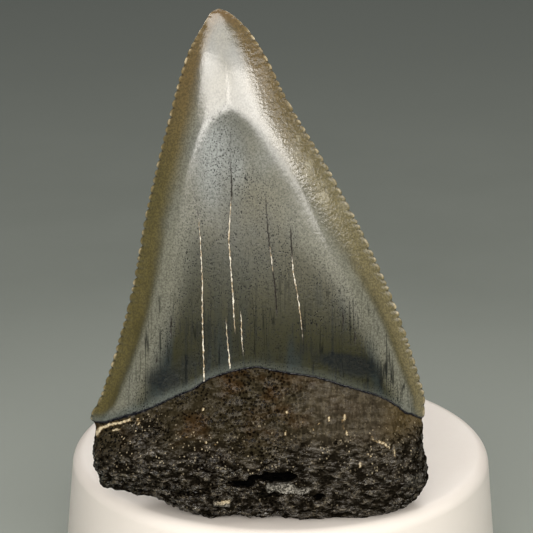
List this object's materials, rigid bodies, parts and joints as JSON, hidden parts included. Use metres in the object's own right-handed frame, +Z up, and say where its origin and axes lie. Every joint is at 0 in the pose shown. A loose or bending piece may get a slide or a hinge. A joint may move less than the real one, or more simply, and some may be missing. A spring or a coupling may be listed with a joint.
{
  "type": "fossil great white shark tooth on a stand",
  "caption": "Fossil great white shark tooth with serrated edges and a worn root, standing upright on a round white moulded stand.",
  "frame": {"origin": "centre of the stand's foot, at the level of what it stands on", "axes": "+Z up through the stand's axis; -Y towards the tooth's inner, swollen side; +X to the right as seen from that side"},
  "size_m": [0.0526, 0.0526, 0.0714],
  "materials": {
    "fossil_tooth": "polished enamel crown, rough dark root",
    "white_plastic": "satin moulded"
  },
  "bodies": {
    "root": {"tooth": "fossil_tooth", "stand": "white_plastic"}
  },
  "joints": []
}
